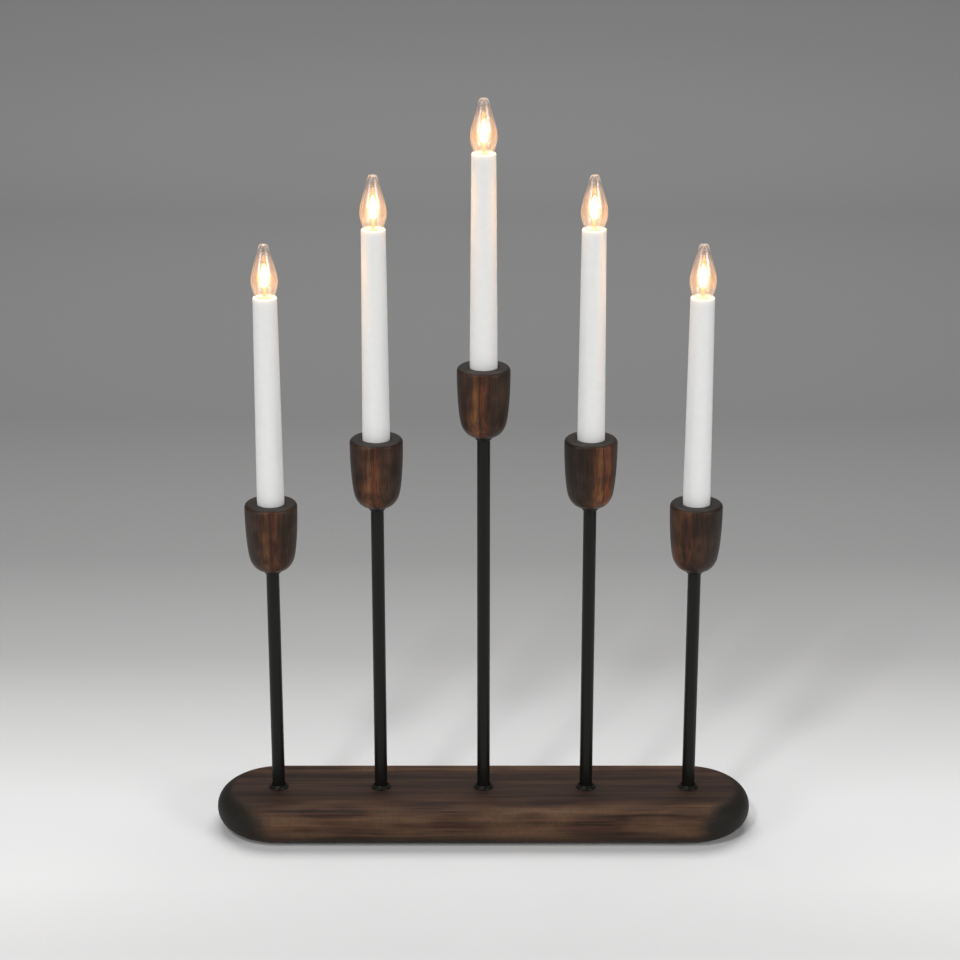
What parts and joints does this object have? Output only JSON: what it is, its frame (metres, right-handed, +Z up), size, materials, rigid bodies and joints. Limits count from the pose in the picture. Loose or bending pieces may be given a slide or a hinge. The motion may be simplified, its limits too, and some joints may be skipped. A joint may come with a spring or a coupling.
{
  "type": "led candle holder",
  "caption": "Electric candle holder: oblong stained wood base, a row of slim black stems rising to the middle, turned wood cups, white candle sleeves and clear flame-shaped lamps.",
  "frame": {"origin": "middle of the footprint on the surface that the felt stands on", "axes": "+X along the row of arms, +Y towards the back, +Z up along the stems"},
  "size_m": [0.338, 0.078, 0.467],
  "materials": {
    "stained_wood": "dark brown stained softwood plank, satin lacquer, grain along its length",
    "turned_wood": "dark brown stained turned wood, satin lacquer, grain upright",
    "black_steel": "satin black powder-coated steel",
    "zinc_steel": "bright zinc plate",
    "white_plastic": "satin white moulded plastic, slightly translucent",
    "holder_plastic": "moulded off-white plastic",
    "cap_brass": "rolled thin brass",
    "clear_bulb": "clear, polished",
    "lit_guide": "frosted light guide, lit warm white",
    "felt": "thin dense black felt",
    "black_plastic": "fine-textured black moulded plastic",
    "cell_can": "plain wrapped dry cell",
    "spring_steel": "nickel-plated sprung steel",
    "circuit_laminate": "green solder mask",
    "slider_plastic": "smooth white nylon",
    "lead_sheath": "clear-grey twin lead"
  },
  "bodies": {
    "root": {"base_board": "stained_wood", "felt_pad": "felt", "stem_tube_1": "black_steel", "foot_collar_1": "black_steel", "stem_nut_1": "zinc_steel", "cup_1": "turned_wood", "candle_sleeve_1": "white_plastic", "lamp_holder_1": "holder_plastic", "stem_tube_2": "black_steel", "foot_collar_2": "black_steel", "stem_nut_2": "zinc_steel", "cup_2": "turned_wood", "candle_sleeve_2": "white_plastic", "lamp_holder_2": "holder_plastic", "stem_tube_3": "black_steel", "foot_collar_3": "black_steel", "stem_nut_3": "zinc_steel", "cup_3": "turned_wood", "candle_sleeve_3": "white_plastic", "lamp_holder_3": "holder_plastic", "stem_tube_4": "black_steel", "foot_collar_4": "black_steel", "stem_nut_4": "zinc_steel", "cup_4": "turned_wood", "candle_sleeve_4": "white_plastic", "lamp_holder_4": "holder_plastic", "stem_tube_5": "black_steel", "foot_collar_5": "black_steel", "stem_nut_5": "zinc_steel", "cup_5": "turned_wood", "candle_sleeve_5": "white_plastic", "lamp_holder_5": "holder_plastic", "battery_box": "black_plastic", "battery_1": "cell_can", "battery_2": "cell_can", "battery_3": "cell_can", "contact_minus": "spring_steel", "contact_bridge_1": "spring_steel", "contact_bridge_2": "spring_steel", "contact_plus": "spring_steel", "switch_tray": "black_plastic", "circuit_board": "circuit_laminate", "lead_loom": "lead_sheath"},
    "bulb_1": {"bulb_cap_1": "cap_brass", "bulb_envelope_1": "clear_bulb", "light_guide_1": "lit_guide"},
    "bulb_2": {"bulb_cap_2": "cap_brass", "bulb_envelope_2": "clear_bulb", "light_guide_2": "lit_guide"},
    "bulb_3": {"bulb_cap_3": "cap_brass", "bulb_envelope_3": "clear_bulb", "light_guide_3": "lit_guide"},
    "bulb_4": {"bulb_cap_4": "cap_brass", "bulb_envelope_4": "clear_bulb", "light_guide_4": "lit_guide"},
    "bulb_5": {"bulb_cap_5": "cap_brass", "bulb_envelope_5": "clear_bulb", "light_guide_5": "lit_guide"},
    "door": {"battery_door": "black_plastic"},
    "slider": {"switch_slider": "slider_plastic"}
  },
  "joints": [
    {"name": "bulb_lift_1", "type": "slide", "parent": "root", "child": "bulb_1", "axis": [0, 0, 1], "range_m": [0, 0.02]},
    {"name": "bulb_lift_2", "type": "slide", "parent": "root", "child": "bulb_2", "axis": [0, 0, 1], "range_m": [0, 0.02]},
    {"name": "bulb_lift_3", "type": "slide", "parent": "root", "child": "bulb_3", "axis": [0, 0, 1], "range_m": [0, 0.02]},
    {"name": "bulb_lift_4", "type": "slide", "parent": "root", "child": "bulb_4", "axis": [0, 0, 1], "range_m": [0, 0.02]},
    {"name": "bulb_lift_5", "type": "slide", "parent": "root", "child": "bulb_5", "axis": [0, 0, 1], "range_m": [0, 0.02]},
    {"name": "battery_door_hinge", "type": "hinge", "parent": "root", "child": "door", "pos_m": [0.0325, -0.0233, 0.002], "axis": [-1, 0, 0], "range_deg": [0, 100]},
    {"name": "switch_slide", "type": "slide", "parent": "root", "child": "slider", "axis": [1, 0, 0], "range_m": [0, 0.0044]}
  ]
}
